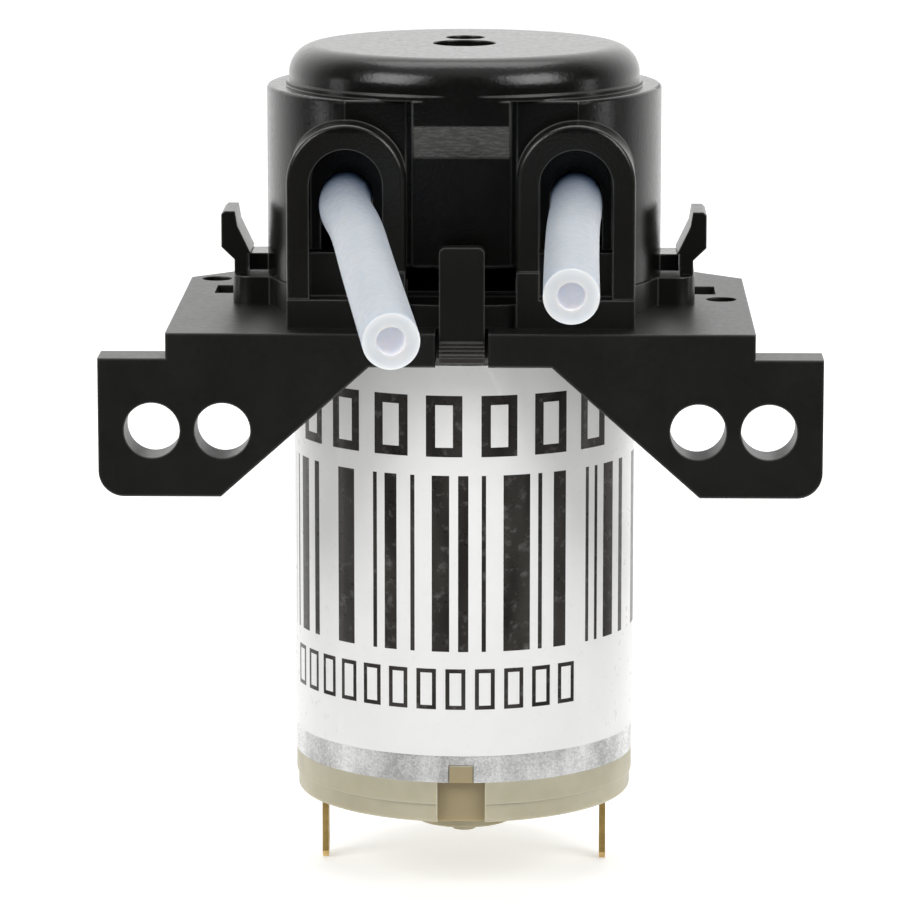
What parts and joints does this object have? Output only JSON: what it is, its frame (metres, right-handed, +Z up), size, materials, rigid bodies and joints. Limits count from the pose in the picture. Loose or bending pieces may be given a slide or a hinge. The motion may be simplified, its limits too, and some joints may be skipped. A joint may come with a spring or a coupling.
{
  "type": "peristaltic pump",
  "caption": "Small peristaltic dosing pump: round black head with two silicone tube ends, a winged mounting bracket and a direct-current motor below.",
  "frame": {"origin": "centre of the outer pair of bracket holes, on the front face of the bracket", "axes": "+X right, +Y back into the panel opening, +Z up along the motor axis towards the pump head"},
  "size_m": [0.0564, 0.0827, 0.0673],
  "materials": {
    "bracket_plastic": "moulded black, satin, fine spark texture",
    "head_plastic": "moulded black, semi-gloss",
    "silicone": "milky translucent silicone",
    "carrier_plastic": "moulded acetal, dark grey",
    "roller_plastic": "natural acetal",
    "steel": "bright machined",
    "galvanised_steel": "zinc-coated sheet, fine speckle",
    "label_film": "white printed film",
    "cream_plastic": "cream nylon, slightly translucent",
    "brass": "bright brass",
    "bronze_strip": "phosphor bronze",
    "carbon": "carbon brush",
    "core_steel": "stacked laminations",
    "enamelled_copper": "enamelled wire",
    "commutator_copper": "turned copper",
    "washer_plastic": "plain",
    "ferrite": "sintered ferrite",
    "bush_bronze": "sintered bronze"
  },
  "bodies": {
    "housing": {"mounting_bracket": "bracket_plastic", "head_base": "head_plastic", "head_cover": "head_plastic", "pump_tube": "silicone", "tube_end_left": "silicone", "tube_end_right": "silicone", "motor_screws": "steel", "motor_can": "galvanised_steel", "motor_label": "label_film", "end_cap": "cream_plastic", "terminal_left": "brass", "terminal_right": "brass", "brush_arm_left": "bronze_strip", "brush_arm_right": "bronze_strip", "brush_left": "carbon", "brush_right": "carbon", "magnet_left": "ferrite", "magnet_right": "ferrite", "magnet_spring": "steel", "front_bush": "bush_bronze", "rear_bush": "bush_bronze"},
    "armature": {"motor_shaft": "steel", "armature_core": "core_steel", "armature_windings": "enamelled_copper", "commutator": "commutator_copper", "thrust_washers": "washer_plastic", "drive_sleeve": "steel"},
    "carrier": {"carrier_bottom": "carrier_plastic", "carrier_top": "carrier_plastic", "roller_pins": "steel"},
    "roller_1": {"roller_1": "roller_plastic"},
    "roller_2": {"roller_2": "roller_plastic"},
    "roller_3": {"roller_3": "roller_plastic"},
    "left_lever": {"left_release_lever": "head_plastic"},
    "right_lever": {"right_release_lever": "head_plastic"},
    "latch": {"front_latch": "head_plastic"}
  },
  "joints": [
    {"name": "motor_spin", "type": "hinge", "parent": "housing", "child": "armature", "pos_m": [0, 0.0185, 0], "axis": [0, 0, 1], "continuous": true},
    {"name": "carrier_spin", "type": "hinge", "parent": "housing", "child": "carrier", "pos_m": [0, 0.0185, 0.0177], "axis": [0, 0, 1], "continuous": true},
    {"name": "roller_1_spin", "type": "hinge", "parent": "carrier", "child": "roller_1", "pos_m": [0, 0.02495, 0.0177], "axis": [0, 0, 1], "continuous": true},
    {"name": "roller_2_spin", "type": "hinge", "parent": "carrier", "child": "roller_2", "pos_m": [-0.00559, 0.01528, 0.0177], "axis": [0, 0, 1], "continuous": true},
    {"name": "roller_3_spin", "type": "hinge", "parent": "carrier", "child": "roller_3", "pos_m": [0.00559, 0.01528, 0.0177], "axis": [0, 0, 1], "continuous": true},
    {"name": "left_lever_release", "type": "hinge", "parent": "housing", "child": "left_lever", "pos_m": [-0.01815, 0.0185, 0.01003], "axis": [0, -1, 0], "range_deg": [0, 8], "stiffness_Nm_per_rad": 0.02},
    {"name": "right_lever_release", "type": "hinge", "parent": "housing", "child": "right_lever", "pos_m": [0.01815, 0.0185, 0.01003], "axis": [0, 1, 0], "range_deg": [0, 8], "stiffness_Nm_per_rad": 0.02},
    {"name": "latch_release", "type": "hinge", "parent": "housing", "child": "latch", "pos_m": [0.00012, 0.0043, 0.006], "axis": [1, 0, 0], "range_deg": [0, 7], "stiffness_Nm_per_rad": 0.02}
  ],
  "couplings": [
    {"joint": "carrier_spin", "follows": "motor_spin", "ratio": 0.13566},
    {"joint": "roller_1_spin", "follows": "motor_spin", "ratio": -0.32183},
    {"joint": "roller_2_spin", "follows": "motor_spin", "ratio": -0.32183},
    {"joint": "roller_3_spin", "follows": "motor_spin", "ratio": -0.32183}
  ]
}
